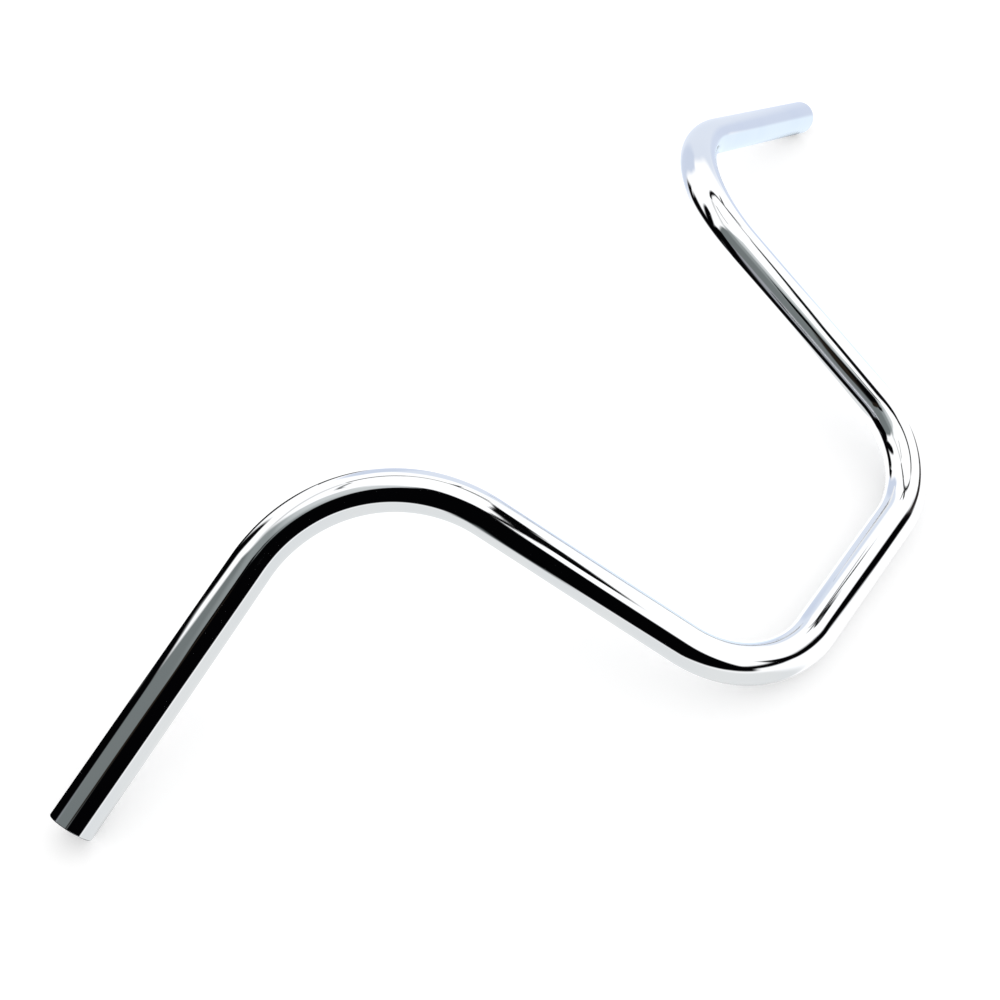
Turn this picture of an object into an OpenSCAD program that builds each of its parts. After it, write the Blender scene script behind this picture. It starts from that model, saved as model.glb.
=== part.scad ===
// Motorcycle handlebar: one round tube, bent four times, lying on its clamp section and its two grip ends.
// The origin is the middle of the clamp section, on the tube's centreline. +X runs along the clamp
// section, +Y towards the risers' tops as the bar lies, and +Z up from the surface it lies on.

/* [Tube] */
// Outside diameter of the tube
tube_d = 25.4; // [22:0.1:32]
// Wall thickness of the tube
wall_t = 2.5; // [1.5:0.1:4]
// How much the tube's radius draws in over each bend
bend_draw = 0.1; // [0.05:0.05:0.2]
// Width of the small bevel on the inner and outer edge of each cut end
end_bevel = 0.4; // [0.1:0.05:0.7]

/* [Clamp section] */
// Straight length between the lower bends, where the bar is clamped
clamp_len = 105; // [80:1:160]

/* [Lower bends] */
// Bend radius, on the tube's centreline
lower_bend_r = 70; // [50:1:110]
// Turn from the clamp section into the riser, in degrees
lower_bend_angle = 79; // [60:0.5:88]

/* [Risers] */
// Straight length of each riser
riser_len = 132; // [60:1:200]

/* [Upper bends] */
// Bend radius, on the tube's centreline
upper_bend_r = 95; // [60:1:130]
// Turn from the riser into the grip, in degrees
upper_bend_angle = 89; // [70:0.5:100]
// Turn of the upper bend's plane about the riser, which brings the grips down towards the rider, in degrees
upper_bend_twist = 21; // [8:0.5:30]

/* [Grips] */
// Straight length of each grip
grip_len = 165; // [120:1:220]

/* [Hidden] */
$fn = 96;

tube_r = tube_d / 2;
bore_r = tube_r - wall_t;
// Each straight's ends run this far into the bends, losing twice the draw, so the surfaces meet half way
TAPER_SLOPE = 0.1;
taper_len = 2 * bend_draw / TAPER_SLOPE;

// Where the tube goes before it is laid down: the clamp section and the risers lie in the XY plane
riser_dir = [cos(lower_bend_angle), sin(lower_bend_angle), 0];
riser_side = [sin(lower_bend_angle), -cos(lower_bend_angle), 0];
upper_side = riser_side * cos(upper_bend_twist) - [0, 0, sin(upper_bend_twist)];
grip_dir = riser_dir * cos(upper_bend_angle) + upper_side * sin(upper_bend_angle);

function bend_move(radius, angle, along, side) = radius * (sin(angle) * along + (1 - cos(angle)) * side);

riser_foot = [clamp_len / 2, 0, 0] + bend_move(lower_bend_r, lower_bend_angle, [1, 0, 0], [0, 1, 0]);
riser_top = riser_foot + riser_len * riser_dir;
grip_foot = riser_top + bend_move(upper_bend_r, upper_bend_angle, riser_dir, upper_side);
// The last full-sized ring of the grip, just before the bevel, is what touches the surface
rest_ring = grip_foot + (grip_len - end_bevel) * grip_dir;

// The lay angle turns the bar about the clamp section until that ring and the clamp section are level
LAY_STEPS = 8;
ring_reach = norm([rest_ring.y, rest_ring.z]);
ring_angle = atan2(rest_ring.z, rest_ring.y);
function grip_slope(lay) = grip_dir.y * sin(lay) + grip_dir.z * cos(lay);
function next_lay(lay) = asin(tube_r * (sqrt(1 - grip_slope(lay) ^ 2) - 1) / ring_reach) - ring_angle;
function settled_lay(lay, steps) = steps == 0 ? lay : settled_lay(next_lay(lay), steps - 1);
lay_angle = settled_lay(-ring_angle, LAY_STEPS);

// Each stretch of a run starts at its own origin along +Z, and its children follow on from its end.
// A straight keeps its full radius over its length and tapers into the bends that meet it.
function taper_start(radius) = [[0, -taper_len], [radius - 2 * bend_draw, -taper_len], [radius, 0]];
function taper_end(radius, length) =
    [[radius, length], [radius - 2 * bend_draw, length + taper_len], [0, length + taper_len]];

module straight(length, radius) {
    rotate_extrude() polygon(concat(taper_start(radius), taper_end(radius, length)));
    translate([0, 0, length]) children();
}

module bend(bend_r, angle, radius) {
    translate([bend_r, 0, 0]) rotate([90, 0, 180])
        rotate_extrude(angle = angle) translate([bend_r, 0]) circle(radius - bend_draw);
    translate([bend_r * (1 - cos(angle)), 0, bend_r * sin(angle)]) rotate([0, angle, 0]) children();
}

module grip(radius, open_end) {
    rotate_extrude() polygon(concat(taper_start(radius), open_end));
}

// From the end of the clamp section to the open end of one grip
module arm(radius, open_end) {
    translate([clamp_len / 2, 0, 0]) rotate([90, 0, 90])
        bend(lower_bend_r, lower_bend_angle, radius)
        straight(riser_len, radius)
        rotate([0, 0, 180 + upper_bend_twist])
        bend(upper_bend_r, upper_bend_angle, radius)
        grip(radius, open_end);
}

// A solid rod of one radius along the whole bar
module run(radius, open_end) {
    translate([-clamp_len / 2, 0, 0]) rotate([90, 0, 90]) straight(clamp_len, radius);
    arm(radius, open_end);
    mirror([1, 0, 0]) arm(radius, open_end);
}

module handlebar() {
    outer_end = [[tube_r, grip_len - end_bevel], [tube_r - end_bevel, grip_len], [0, grip_len]];
    // The bore opens out along the bevel until it is clear of the end
    bore_end = [
        [bore_r, grip_len - end_bevel],
        [bore_r + 2 * end_bevel, grip_len + end_bevel],
        [0, grip_len + end_bevel]
    ];
    color("silver") rotate([lay_angle, 0, 0]) difference() {
        run(tube_r, outer_end);
        run(bore_r, bore_end);
    }
}

handlebar();
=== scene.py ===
"""A chromed motorcycle handlebar lying on a white table, seen from above and to its left.

Everything is in metres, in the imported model's frame: the origin is the middle of the clamp section on the
tube's centreline, +X along the clamp section, +Y towards the tops of the risers, +Z up from the table.
"""
from math import asin, atan2, cos, hypot, pi, radians, sin, sqrt

import bmesh
import bpy
from mathutils import Matrix, Vector


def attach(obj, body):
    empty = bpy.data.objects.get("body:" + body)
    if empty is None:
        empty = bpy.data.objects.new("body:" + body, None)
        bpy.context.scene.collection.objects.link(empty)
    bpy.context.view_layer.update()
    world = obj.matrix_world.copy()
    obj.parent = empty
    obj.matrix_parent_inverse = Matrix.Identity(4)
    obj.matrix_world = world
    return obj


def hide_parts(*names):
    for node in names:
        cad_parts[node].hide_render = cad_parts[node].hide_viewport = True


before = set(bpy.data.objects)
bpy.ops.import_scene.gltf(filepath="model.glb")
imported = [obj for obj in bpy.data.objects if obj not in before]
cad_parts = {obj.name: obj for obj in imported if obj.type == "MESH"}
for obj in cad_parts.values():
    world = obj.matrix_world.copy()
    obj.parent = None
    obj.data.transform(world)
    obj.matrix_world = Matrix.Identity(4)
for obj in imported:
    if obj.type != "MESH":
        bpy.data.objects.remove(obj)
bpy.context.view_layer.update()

# The tube's driving dimensions, as in the CAD model
TUBE_R = 0.0127
WALL = 0.0025
BEVEL = 0.0004
CLAMP_LEN = 0.105
LOWER_BEND_R, LOWER_BEND_ANGLE = 0.070, radians(79)
RISER_LEN = 0.132
UPPER_BEND_R, UPPER_BEND_ANGLE, UPPER_BEND_TWIST = 0.095, radians(89), radians(21)
GRIP_LEN = 0.165
BEND_DRAW = 0.0001

# How finely the tube is meshed, and the length over which it draws in at each end of a bend
LINE_STEP = 0.008
BEND_STEP = 0.0025
SIDES = 128
DRAW_LENGTH = 0.012

# The camera of the photograph
CAMERA_AT = Vector((-0.5448, -0.0990, 0.6667))
CAMERA_AZIMUTH = radians(56.348)
CAMERA_TILT = radians(50.397)
CAMERA_ROLL = radians(3.187)
CAMERA_LENS = 49.30
CAMERA_SENSOR = 36.0
CAMERA_NEAR, CAMERA_FAR = 0.01, 50.0

# The piece's name, its material slots, and what its mesh carries for the materials
PIECE = "handlebar_tube"
CHROME_SLOT, CUT_SLOT, BORE_SLOT = 0, 1, 2
TUBE_UV = "tube"
FROM_END = "from_end"

# Chrome plating: its two tints and the clouds that mix them, its roughness, and besides that its haze, its
# lines along the tube and its fine unevenness
CHROME_DARK = (0.775, 0.787, 0.806, 1)
CHROME_LIGHT = (0.800, 0.806, 0.815, 1)
CLOUD_SCALE, CLOUD_DETAIL = 18.0, 3.0
CLOUD_LOW, CLOUD_HIGH = 0.35, 0.65
CHROME_ROUGHNESS = 0.028
HAZE_SCALE, HAZE_DETAIL, HAZE_GRAIN = 42.0, 5.0, 0.62
HAZE_LOW, HAZE_HIGH, HAZE_ROUGHNESS = 0.52, 0.78, 0.035
LINE_STRETCH, LINE_DETAIL = (2600.0, 9.0, 0.0), 2.0
LINE_LOW, LINE_HIGH, LINE_ROUGHNESS = 0.5, 0.8, 0.02
PEEL_SCALE, PEEL_DETAIL = 260.0, 1.0
PEEL_STRENGTH, PEEL_DEPTH = 0.02, 0.0002

# Cut ends: their two tints, their file marks, and how rough those are
CUT_DARK = (0.62, 0.63, 0.64, 1)
CUT_LIGHT = (0.76, 0.77, 0.79, 1)
MARK_STRETCH, MARK_DETAIL = (120.0, 5200.0, 0.0), 3.0
MARK_LOW, MARK_HIGH = 0.3, 0.7
CUT_SMOOTH, CUT_ROUGH = 0.16, 0.30
MARK_STRENGTH, MARK_DEPTH = 0.25, 0.0001

# Bore: plating near the ends, the depths between which it gives way to steel, and the steel's patches and
# drawing lines
BORE_PLATING = (0.70, 0.71, 0.73, 1)
STEEL_DARK = (0.20, 0.19, 0.18, 1)
STEEL_LIGHT = (0.36, 0.34, 0.31, 1)
PATCH_SCALE, PATCH_DETAIL, PATCH_REACH = 220.0, 4.0, 0.020
PLATED_TO, BARE_FROM = 0.018, 0.042
PLATING_ROUGHNESS, STEEL_ROUGHNESS = 0.10, 0.36
DRAWN_STRETCH, DRAWN_DETAIL, DRAWN_ROUGHNESS = (1500.0, 12.0, 0.0), 3.0, 0.12
DRAWN_STRENGTH, DRAWN_DEPTH = 0.15, 0.0002

# The table: how far below the tube it lies, its side, its white, and the glow that lightens its shade. Then
# the painted shade that metal mirrors in its place, a dim glow: how that is found, how bright it is, and
# where it starts and is full.
TABLE_GAP = 0.00005
TABLE_SIDE = 14.0
TABLE_WHITE = (0.8, 0.8, 0.8, 1)
TABLE_LIFT = 0.31
SHADE_SAMPLES, SHADE_REACH, SHADE_GLOW = 8, 0.03, 0.15
SHADE_FULL, SHADE_NONE = 0.05, 0.75

# The studio tent, a glowing dome that only metal mirrors, on which the reflections that chrome shows are
# painted: its middle, its radius, how finely it is meshed, its white, the share of light that chrome
# mirrors, and the bearing at which the flags' bearings start
TENT_AT = Vector((0.0, 0.13, 0.30))
TENT_R = 0.70
TENT_SEGMENTS, TENT_RINGS = 96, 48
WHITE = 1.30
CHROME_SHARE = 0.79
TENT_SEAM = 78.0

BLACK = (3, 3, 4)
GREY = (112, 118, 118)

# The flags, painted on the tent as reflections of the table, the backdrop and dark and grey things standing
# round, each over those before it in FLAGS: a colour as the chrome shows it, how soft the border is, and a
# convex outline of bearings from +X towards +Y and heights above the tent's middle, all in degrees. Bearings
# run from the tent's seam once round.
TABLE_FAR = ((221, 223, 223), 6, [
    (135, -56), (172, -38), (200, -30), (258, -22), (278, -60), (278, -95), (135, -95)])
BACKDROP = ((203, 212, 230), 3, [
    (356, -15), (384, -12), (400, -14), (400, -46), (376, -46), (356, -30)])
BACKDROP_MIDDLE = ((217, 224, 236), 5, [
    (366, -12), (368, 0), (380, 8), (398, 14), (412, 8), (412, -46), (394, -46)])
BACKDROP_RIGHT = ((201, 210, 227), 4, [(406, -46), (408, 4), (424, 8), (432, -6), (424, -44)])
BACKDROP_LOW = ((225, 238, 250), 3, [(350, -26), (362, -27), (372, -33), (384, -41), (384, -52), (350, -52)])
RAIL_FAR = ((205, 205, 205), 3, [(80, 47), (125, 42), (125, 36), (80, 41)])
SIDE_TOP = ((200, 204, 204), 4, [(132, 40), (150, 66), (175, 74), (205, 68), (222, 56), (200, 42)])
SIDE = (GREY, 3, [
    (127, -8), (129, 22), (138, 40), (150, 49), (198, 51), (190, -36), (150, -36), (134, -22)])
SIDE_MIDDLE = ((140, 146, 146), 8, [(124, 34), (142, 54), (202, 54), (202, 34)])
SIDE_LOW = ((150, 152, 158), 5, [(140, -8), (178, -8), (180, -38), (150, -38)])
BLOCK_LEFT = (BLACK, 3, [(100, -6), (103, 6), (112, 6), (119, -12), (116, -30), (104, -32)])
BLOCK_RIGHT = (BLACK, 3, [(143, -9), (130, -4), (121, -10), (106, -36), (140, -36), (150, -30), (150, -12)])
BLOCK_FOOT = (BLACK, 4, [(74, -36), (84, -24), (122, -28), (126, -50), (101, -48), (76, -46)])
BLOCK_FOOT_RIGHT = (BLACK, 3, [(120, -30), (170, -30), (170, -48), (160, -53), (123, -51)])
BLOCK_FOOT_LEFT = (BLACK, 3, [(426, -32), (442, -22), (442, -46), (426, -44)])
SCREEN = (BLACK, 3, [
    (183, -34), (182, 30), (189, 45), (214, 51), (222, 47), (228, 34), (232, 18), (236, -2), (236, -21),
    (220, -26), (202, -31)])
SCREEN_FOOT = (BLACK, 3, [(206, 33), (226, 33), (248, 12), (257, -9), (253, -18), (232, -22), (206, -20)])
SCREEN_EDGE = (BLACK, 2, [(176, 34), (177, 46), (190, 50), (190, 26)])
SCREEN_POST = (BLACK, 2, [(212, 46), (219, 60), (223, 60), (227, 42)])
SCREEN_FRAME = ((34, 28, 22), 2, [(176, 10), (181, 12), (192, 38), (188, 42), (178, 26)])
ARCH_LEFT = (BLACK, 2.5, [(230, -4), (256, -1), (256, -9), (230, -15)])
ARCH_MIDDLE = (BLACK, 2.5, [(252, -1), (286, 12), (286, -1), (252, -10)])
ARCH_KNOB = (BLACK, 2.5, [(276, 6), (279, 18), (285, 18), (292, 11), (288, 4)])
ARCH_RIGHT = (BLACK, 3, [(280, 9), (308, 18), (313, 12), (298, -5), (280, -4)])
ARCH_LEG = (BLACK, 3, [(298, 8), (308, 18), (318, 6), (313, -17), (303, -18), (298, -6)])
ARCH_TAIL = ((50, 44, 44), 2, [(314, 0), (318, -2), (333, -11), (332, -15), (316, -16), (311, -12)])
RAIL_A = (BLACK, 1.5, [(218, 50), (238, 55), (238, 51), (218, 45)])
RAIL_B = (BLACK, 1.5, [(234, 56), (264, 62), (264, 56), (234, 52)])
RAIL_C = (BLACK, 2, [(261, 62), (292, 67), (292, 50), (270, 46), (259, 51)])
RAIL_D = (BLACK, 2, [(290, 67), (318, 62), (318, 50), (290, 50)])
RAIL_E = (BLACK, 2, [(314, 63), (330, 56), (346, 46), (343, 41), (334, 43), (314, 54)])
RAIL_F = (BLACK, 1.5, [(345, 43), (370, 43), (370, 40), (345, 39)])
RAIL_G = (BLACK, 1.5, [(368, 43), (405, 45), (405, 41), (368, 40)])
RAIL_H = (BLACK, 1.5, [(403, 46), (438, 45), (438, 40), (403, 41)])
RAIL_DROP = (BLACK, 1, [(356, 32), (366, 36), (374, 40), (370, 43), (356, 36)])
RAIL_LEG = (BLACK, 1, [(373, 30), (375, 29), (378, 40), (372, 40)])
SIDE_EDGE = ((120, 122, 122), 1.5, [(80, 54), (112, 68), (112, 64), (80, 50)])
FLAGS = [
    TABLE_FAR, BACKDROP, BACKDROP_MIDDLE, BACKDROP_RIGHT, BACKDROP_LOW, RAIL_FAR,
    SIDE_TOP, SIDE, SIDE_MIDDLE, SIDE_LOW,
    BLOCK_LEFT, BLOCK_RIGHT, BLOCK_FOOT, BLOCK_FOOT_RIGHT, BLOCK_FOOT_LEFT,
    SCREEN, SCREEN_FOOT, SCREEN_EDGE, SCREEN_POST, SCREEN_FRAME,
    ARCH_LEFT, ARCH_MIDDLE, ARCH_KNOB, ARCH_RIGHT, ARCH_LEG, ARCH_TAIL,
    RAIL_A, RAIL_B, RAIL_C, RAIL_D, RAIL_E, RAIL_F, RAIL_G, RAIL_H,
    RAIL_DROP, RAIL_LEG, SIDE_EDGE,
]


# The bar's centreline


def line_points(start, along, length):
    """Points and directions along a straight stretch, without its last point, and a share of bend of 0."""
    steps = max(1, round(length / LINE_STEP))
    return [(start + along * (length * i / steps), along.copy(), 0.0) for i in range(steps)]


def bend_points(start, along, side, radius, angle):
    """The same along a bend that turns from along towards side. The share of bend eases in at both ends."""
    steps = max(1, round(radius * angle / BEND_STEP))
    made = []
    for i in range(steps):
        a = angle * i / steps
        inside = min(1.0, radius * min(a, angle - a) / DRAW_LENGTH)
        at = start + radius * (sin(a) * along + (1 - cos(a)) * side)
        made.append((at, cos(a) * along + sin(a) * side, inside * inside * (3 - 2 * inside)))
    return made


def lay_angle(ring, grip_dir):
    """The turn about the clamp section at which that section and the grip's last ring lie level."""
    reach, ring_angle = hypot(ring.y, ring.z), atan2(ring.z, ring.y)
    lay = -ring_angle
    for _ in range(8):
        slope = grip_dir.y * sin(lay) + grip_dir.z * cos(lay)
        lay = asin(TUBE_R * (sqrt(1 - slope * slope) - 1) / reach) - ring_angle
    return lay


def bend_move(radius, angle, along, side):
    return radius * (sin(angle) * along + (1 - cos(angle)) * side)


def arm_path():
    """The centreline from the middle of the clamp section to the end of the right-hand grip."""
    across, up = Vector((1, 0, 0)), Vector((0, 1, 0))
    riser = across * cos(LOWER_BEND_ANGLE) + up * sin(LOWER_BEND_ANGLE)
    outward = across * sin(LOWER_BEND_ANGLE) - up * cos(LOWER_BEND_ANGLE)
    side = outward * cos(UPPER_BEND_TWIST) - Vector((0, 0, sin(UPPER_BEND_TWIST)))
    grip = riser * cos(UPPER_BEND_ANGLE) + side * sin(UPPER_BEND_ANGLE)

    clamp_end = across * (CLAMP_LEN / 2)
    riser_foot = clamp_end + bend_move(LOWER_BEND_R, LOWER_BEND_ANGLE, across, up)
    riser_top = riser_foot + riser * RISER_LEN
    grip_foot = riser_top + bend_move(UPPER_BEND_R, UPPER_BEND_ANGLE, riser, side)
    tip = grip_foot + grip * GRIP_LEN

    points = line_points(Vector((0, 0, 0)), across, CLAMP_LEN / 2)
    points += bend_points(clamp_end, across, up, LOWER_BEND_R, LOWER_BEND_ANGLE)
    points += line_points(riser_foot, riser, RISER_LEN)
    points += bend_points(riser_top, riser, side, UPPER_BEND_R, UPPER_BEND_ANGLE)
    points += line_points(grip_foot, grip, GRIP_LEN - BEVEL)
    points.append((tip - grip * BEVEL, grip, 0.0))
    points.append((tip, grip, 0.0))

    lay = Matrix.Rotation(lay_angle(tip - grip * BEVEL, grip), 3, "X")
    return [(lay @ at, lay @ along, share) for at, along, share in points]


def bar_path():
    """The whole centreline, from the end of the left-hand grip to the end of the right-hand one."""
    right = arm_path()
    left = [
        (Vector((-at.x, at.y, at.z)), Vector((along.x, -along.y, -along.z)), share)
        for at, along, share in reversed(right[1:])
    ]
    return left + right


# The tube's mesh


def section_frames(path):
    """Two directions across the tube at each point, carried along the path without twist."""
    across = Vector((0, 0, 1)).cross(path[0][1]).normalized()
    frames = []
    for _, along, _ in path:
        across = (across - along * across.dot(along)).normalized()
        frames.append((across.copy(), along.cross(across)))
    return frames


def run_lengths(path):
    """How far along the tube each point is."""
    lengths = [0.0]
    for (before, _, _), (after, _, _) in zip(path, path[1:]):
        lengths.append(lengths[-1] + (after - before).length)
    return lengths


def add_skin(mesh, path, frames, radii):
    """Rings of vertices round the path, with a radius for each point."""
    turn = 2 * pi / SIDES
    rings = []
    for (at, _, _), (across, over), radius in zip(path, frames, radii):
        rim = [radius * (cos(k * turn) * across + sin(k * turn) * over) for k in range(SIDES)]
        rings.append([mesh.verts.new(at + r) for r in rim])
    return rings


def join_rings(mesh, uv, first, second, v_first, v_second, slot, outward):
    """Quads between two rings. u runs round the tube and v along it, both in metres."""
    girth = 2 * pi * TUBE_R / SIDES
    for k in range(SIDES):
        n = (k + 1) % SIDES
        corners = [
            (first[k], k, v_first),
            (first[n], k + 1, v_first),
            (second[n], k + 1, v_second),
            (second[k], k, v_second),
        ]
        if not outward:
            corners.reverse()
        face = mesh.faces.new([c[0] for c in corners])
        face.smooth = True
        face.material_index = slot
        for loop, (_, step, v) in zip(face.loops, corners):
            loop[uv].uv = (step * girth, v)


def sharpen(ring):
    """Makes the edges round a ring sharp."""
    for vertex in ring:
        for edge in vertex.link_edges:
            if edge.other_vert(vertex) in ring:
                edge.smooth = False


def build_tube():
    """The bar as one closed tube: its plated outside, both cut ends and the bore all through."""
    path = bar_path()
    frames = section_frames(path)
    lengths = run_lengths(path)
    last = len(path) - 1
    outer_r = [TUBE_R - BEND_DRAW * share for _, _, share in path]
    bore_r = [r - WALL for r in outer_r]
    for tip in (0, last):
        outer_r[tip] -= BEVEL
        bore_r[tip] += BEVEL

    mesh = bmesh.new()
    uv = mesh.loops.layers.uv.new(TUBE_UV)
    from_end = mesh.verts.layers.float.new(FROM_END)
    outer = add_skin(mesh, path, frames, outer_r)
    bore = add_skin(mesh, path, frames, bore_r)
    for i, length in enumerate(lengths):
        for vertex in outer[i] + bore[i]:
            vertex[from_end] = min(length, lengths[last] - length)

    for i in range(last):
        cut = i == 0 or i == last - 1
        v_first, v_second = lengths[i], lengths[i + 1]
        slot = CUT_SLOT if cut else CHROME_SLOT
        join_rings(mesh, uv, outer[i], outer[i + 1], v_first, v_second, slot, True)
        slot = CUT_SLOT if cut else BORE_SLOT
        join_rings(mesh, uv, bore[i], bore[i + 1], v_first, v_second, slot, False)
    join_rings(mesh, uv, bore[0], outer[0], WALL, 0.0, CUT_SLOT, True)
    join_rings(mesh, uv, outer[last], bore[last], 0.0, WALL, CUT_SLOT, True)

    for i in (0, 1, last - 1, last):
        sharpen(set(outer[i]))
        sharpen(set(bore[i]))

    data = bpy.data.meshes.new(PIECE)
    mesh.to_mesh(data)
    mesh.free()
    made = bpy.data.objects.new(PIECE, data)
    bpy.context.scene.collection.objects.link(made)
    return made


# Materials


def linear(value):
    """A colour channel as a screen shows it, as linear light."""
    return value / 12.92 if value <= 0.04045 else ((value + 0.055) / 1.055) ** 2.4


def colour(red, green, blue):
    """A colour as a screen shows it, each channel from 0 to 255."""
    return (linear(red / 255), linear(green / 255), linear(blue / 255), 1.0)


def add_node(tree, kind, settings=None, inputs=None):
    """A node with its settings, its inputs being values or other nodes' outputs."""
    made = tree.nodes.new(kind)
    for name, value in (settings or {}).items():
        setattr(made, name, value)
    for key, value in (inputs or {}).items():
        if isinstance(value, bpy.types.NodeSocket):
            tree.links.new(value, made.inputs[key])
        else:
            made.inputs[key].default_value = value
    return made


def maths(tree, operation, first, second=0.0):
    return add_node(tree, "ShaderNodeMath", {"operation": operation}, {0: first, 1: second}).outputs[0]


def ramp(tree, value, low, high, to_low=0.0, to_high=1.0):
    """A value eased from low to high onto another range."""
    inputs = {"Value": value, "From Min": low, "From Max": high, "To Min": to_low, "To Max": to_high}
    return add_node(tree, "ShaderNodeMapRange", {"interpolation_type": "SMOOTHSTEP"}, inputs).outputs[0]


def mixed(tree, factor, first, second):
    """Two colours mixed by a factor. The node's sockets for colours are inputs 6 and 7 and output 2."""
    settings = {"data_type": "RGBA"}
    return add_node(tree, "ShaderNodeMix", settings, {0: factor, 6: first, 7: second}).outputs[2]


def noise(tree, vector, scale, detail, roughness=0.5):
    inputs = {"Vector": vector, "Scale": scale, "Detail": detail, "Roughness": roughness}
    return add_node(tree, "ShaderNodeTexNoise", None, inputs).outputs["Fac"]


def stretched_noise(tree, vector, stretch, detail):
    """Noise with its own scale along each axis."""
    settings, inputs = {"operation": "MULTIPLY"}, {0: vector, 1: stretch}
    place = add_node(tree, "ShaderNodeVectorMath", settings, inputs).outputs[0]
    return noise(tree, place, 1.0, detail)


def bumped(tree, height, strength, distance):
    inputs = {"Height": height, "Strength": strength, "Distance": distance}
    return add_node(tree, "ShaderNodeBump", None, inputs).outputs["Normal"]


def tube_place(tree):
    """Where a point is in space, and where it is round and along the tube."""
    place = add_node(tree, "ShaderNodeTexCoord").outputs["Object"]
    along = add_node(tree, "ShaderNodeUVMap", {"uv_map": TUBE_UV}).outputs["UV"]
    return place, along


def new_metal(name):
    """A metal, its node tree and its shader."""
    material = bpy.data.materials.new(name)
    material.use_nodes = True
    tree = material.node_tree
    shader = tree.nodes["Principled BSDF"]
    shader.inputs["Metallic"].default_value = 1.0
    return material, tree, shader


def new_surface(name):
    """A material without a shader, and its node tree."""
    material = bpy.data.materials.new(name)
    material.use_nodes = True
    material.node_tree.nodes.clear()
    return material, material.node_tree


def chrome():
    """Bright chrome plating: a mirror, with a faint haze from handling and faint lines along the tube."""
    material, tree, shader = new_metal("chrome_plating")
    place, along = tube_place(tree)

    clouds = ramp(tree, noise(tree, place, CLOUD_SCALE, CLOUD_DETAIL), CLOUD_LOW, CLOUD_HIGH)
    tree.links.new(mixed(tree, clouds, CHROME_DARK, CHROME_LIGHT), shader.inputs["Base Color"])

    haze = noise(tree, place, HAZE_SCALE, HAZE_DETAIL, HAZE_GRAIN)
    haze = ramp(tree, haze, HAZE_LOW, HAZE_HIGH, 0.0, HAZE_ROUGHNESS)
    lines = stretched_noise(tree, along, LINE_STRETCH, LINE_DETAIL)
    lines = ramp(tree, lines, LINE_LOW, LINE_HIGH, 0.0, LINE_ROUGHNESS)
    dull = maths(tree, "ADD", maths(tree, "ADD", haze, lines), CHROME_ROUGHNESS)
    tree.links.new(dull, shader.inputs["Roughness"])

    peel = noise(tree, place, PEEL_SCALE, PEEL_DETAIL)
    tree.links.new(bumped(tree, peel, PEEL_STRENGTH, PEEL_DEPTH), shader.inputs["Normal"])
    return material


def cut_edge():
    """The tube's cut ends: plated over the saw and file marks, which run round the ring."""
    material, tree, shader = new_metal("plated_cut_end")
    _, along = tube_place(tree)
    marks = stretched_noise(tree, along, MARK_STRETCH, MARK_DETAIL)
    tint = mixed(tree, ramp(tree, marks, MARK_LOW, MARK_HIGH), CUT_DARK, CUT_LIGHT)
    tree.links.new(tint, shader.inputs["Base Color"])
    dull = ramp(tree, marks, MARK_LOW, MARK_HIGH, CUT_SMOOTH, CUT_ROUGH)
    tree.links.new(dull, shader.inputs["Roughness"])
    tree.links.new(bumped(tree, marks, MARK_STRENGTH, MARK_DEPTH), shader.inputs["Normal"])
    return material


def bore_steel():
    """The bore: plating that thins out a little way in, then bare drawn steel with a thin oily film."""
    material, tree, shader = new_metal("bore_steel")
    place, along = tube_place(tree)
    depth = add_node(tree, "ShaderNodeAttribute", {"attribute_name": FROM_END}).outputs["Fac"]

    patches = noise(tree, place, PATCH_SCALE, PATCH_DETAIL)
    reach = maths(tree, "ADD", depth, maths(tree, "MULTIPLY", patches, PATCH_REACH))
    bare = ramp(tree, reach, PLATED_TO, BARE_FROM)
    steel = mixed(tree, patches, STEEL_DARK, STEEL_LIGHT)
    tree.links.new(mixed(tree, bare, BORE_PLATING, steel), shader.inputs["Base Color"])

    drawn = stretched_noise(tree, along, DRAWN_STRETCH, DRAWN_DETAIL)
    base = ramp(tree, bare, 0.0, 1.0, PLATING_ROUGHNESS, STEEL_ROUGHNESS)
    dull = maths(tree, "ADD", base, maths(tree, "MULTIPLY", drawn, DRAWN_ROUGHNESS))
    tree.links.new(dull, shader.inputs["Roughness"])
    tree.links.new(bumped(tree, drawn, DRAWN_STRENGTH, DRAWN_DEPTH), shader.inputs["Normal"])
    return material


def glowing(tree, strength):
    return add_node(tree, "ShaderNodeEmission", None, {"Strength": strength}).outputs[0]


def mix_shaders(tree, factor, first, second):
    return add_node(tree, "ShaderNodeMixShader", None, {0: factor, 1: first, 2: second}).outputs[0]


def table_surface():
    """A white table: white where nothing shades it, and in metal only a painted shade where it is shaded."""
    material, tree = new_surface("white_table")
    rays = add_node(tree, "ShaderNodeLightPath").outputs
    paper = add_node(tree, "ShaderNodeBsdfDiffuse", None, {"Color": TABLE_WHITE}).outputs[0]
    lifted = {0: paper, 1: glowing(tree, TABLE_LIFT)}
    seen = add_node(tree, "ShaderNodeAddShader", None, lifted).outputs[0]
    plain = mix_shaders(tree, rays["Is Camera Ray"], paper, seen)

    # Painted shade for metal: a dim glow where ambient occlusion finds the table shaded, clear elsewhere.
    settings, inputs = {"samples": SHADE_SAMPLES}, {"Distance": SHADE_REACH}
    light = add_node(tree, "ShaderNodeAmbientOcclusion", settings, inputs).outputs["AO"]
    clear = add_node(tree, "ShaderNodeBsdfTransparent").outputs[0]
    unshaded = ramp(tree, light, SHADE_FULL, SHADE_NONE)
    painted_shade = mix_shaders(tree, unshaded, glowing(tree, SHADE_GLOW), clear)
    surface = mix_shaders(tree, rays["Is Glossy Ray"], plain, painted_shade)
    add_node(tree, "ShaderNodeOutputMaterial", None, {"Surface": surface})
    return material


# The studio


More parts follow.
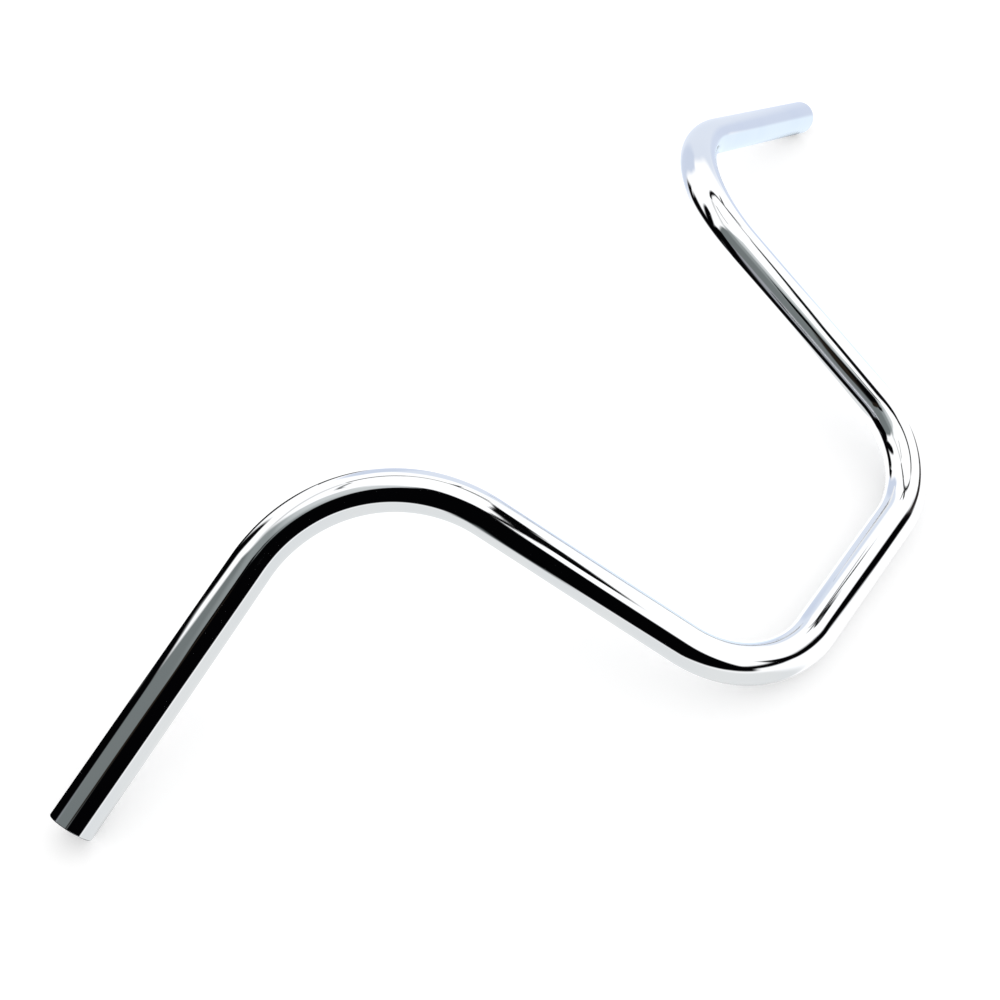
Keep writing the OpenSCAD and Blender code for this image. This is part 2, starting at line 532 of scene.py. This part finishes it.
def build_table():
    half = TABLE_SIDE / 2
    corners = [(-half, -half, 0), (half, -half, 0), (half, half, 0), (-half, half, 0)]
    data = bpy.data.meshes.new("table")
    data.from_pydata(corners, [], [(0, 1, 2, 3)])
    made = bpy.data.objects.new("table", data)
    made.location.z = -TUBE_R - TABLE_GAP
    data.materials.append(table_surface())
    bpy.context.scene.collection.objects.link(made)


def tent_angles(tree):
    """Where a point of the tent lies as seen from its middle: a vector of bearing, height and 1."""
    place = add_node(tree, "ShaderNodeTexCoord").outputs["Object"]
    out = add_node(tree, "ShaderNodeVectorMath", {"operation": "NORMALIZE"}, {0: place}).outputs[0]
    x, y, z = add_node(tree, "ShaderNodeSeparateXYZ", None, {0: out}).outputs
    bearing = maths(tree, "DEGREES", maths(tree, "ARCTAN2", y, x))
    lap = maths(tree, "MULTIPLY", maths(tree, "LESS_THAN", bearing, TENT_SEAM), 360.0)
    height = maths(tree, "DEGREES", maths(tree, "ARCSINE", z))
    parts = {0: maths(tree, "ADD", bearing, lap), 1: height, 2: 1.0}
    return add_node(tree, "ShaderNodeCombineXYZ", None, parts).outputs[0]


def flag_cover(tree, angles, soft, corners):
    """How much a flag covers: 1 inside all its sides, easing to 0 outside them."""
    middle_b = sum(b for b, _ in corners) / len(corners)
    middle_h = sum(h for _, h in corners) / len(corners)
    cover = None
    for (b1, h1), (b2, h2) in zip(corners, corners[1:] + corners[:1]):
        side = Vector((h1 - h2, b2 - b1)).normalized()
        past = -side.x * b1 - side.y * h1
        if side.x * middle_b + side.y * middle_h + past < 0:
            side, past = -side, -past
        inputs = {0: angles, 1: (side.x, side.y, past)}
        inside = add_node(tree, "ShaderNodeVectorMath", {"operation": "DOT_PRODUCT"}, inputs)
        share = ramp(tree, inside.outputs["Value"], -soft, soft)
        cover = share if cover is None else maths(tree, "MULTIPLY", cover, share)
    return cover


def painted_reflections():
    """Painted reflections: a white glow with the flags painted over it, dark or grey, as chrome shows them.
    """
    material, tree = new_surface("painted_studio_reflections")
    material.cycles.emission_sampling = "NONE"
    angles = tent_angles(tree)
    seen = (WHITE, WHITE, WHITE, 1)
    for tone, soft, corners in FLAGS:
        light = tuple(channel / CHROME_SHARE for channel in colour(*tone)[:3]) + (1.0,)
        seen = mixed(tree, flag_cover(tree, angles, soft, corners), seen, light)
    glow = add_node(tree, "ShaderNodeEmission", None, {"Color": seen}).outputs[0]
    add_node(tree, "ShaderNodeOutputMaterial", None, {"Surface": glow})
    return material


def build_tent():
    """The tent of painted reflections, which only metal mirrors: the camera and the light pass through it.
    """
    mesh = bmesh.new()
    bmesh.ops.create_uvsphere(mesh, u_segments=TENT_SEGMENTS, v_segments=TENT_RINGS, radius=TENT_R)
    data = bpy.data.meshes.new("tent")
    mesh.to_mesh(data)
    mesh.free()
    data.materials.append(painted_reflections())
    made = bpy.data.objects.new("tent", data)
    made.location = TENT_AT
    made.visible_camera = False
    made.visible_diffuse = False
    made.visible_shadow = False
    made.visible_transmission = False
    bpy.context.scene.collection.objects.link(made)


def build_world():
    """Plain white light from all round."""
    world = bpy.data.worlds.new("studio")
    bpy.context.scene.world = world
    world.use_nodes = True
    tree = world.node_tree
    tree.nodes.clear()
    inputs = {"Color": (1, 1, 1, 1), "Strength": 1.0}
    light = add_node(tree, "ShaderNodeBackground", None, inputs).outputs[0]
    add_node(tree, "ShaderNodeOutputWorld", None, {"Surface": light})


def build_camera():
    """The photograph's camera. Its azimuth runs from +Y towards +X, and its tilt is below level."""
    reach = cos(CAMERA_TILT)
    ahead = Vector((reach * sin(CAMERA_AZIMUTH), reach * cos(CAMERA_AZIMUTH), -sin(CAMERA_TILT)))
    level = ahead.cross(Vector((0, 0, 1))).normalized()
    upright = level.cross(ahead)
    right = level * cos(CAMERA_ROLL) + upright * sin(CAMERA_ROLL)
    above = right.cross(ahead)
    data = bpy.data.cameras.new("camera")
    data.sensor_width = CAMERA_SENSOR
    data.lens = CAMERA_LENS
    data.clip_start, data.clip_end = CAMERA_NEAR, CAMERA_FAR
    made = bpy.data.objects.new("camera", data)
    turn = Matrix((right, above, -ahead)).transposed().to_4x4()
    made.matrix_world = Matrix.Translation(CAMERA_AT) @ turn
    bpy.context.scene.collection.objects.link(made)
    bpy.context.scene.camera = made


tube = build_tube()
tube.data.materials.append(chrome())
tube.data.materials.append(cut_edge())
tube.data.materials.append(bore_steel())
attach(tube, "root")
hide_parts("handlebar")

build_table()
build_tent()
build_world()
build_camera()
bpy.context.scene.view_settings.view_transform = "Standard"
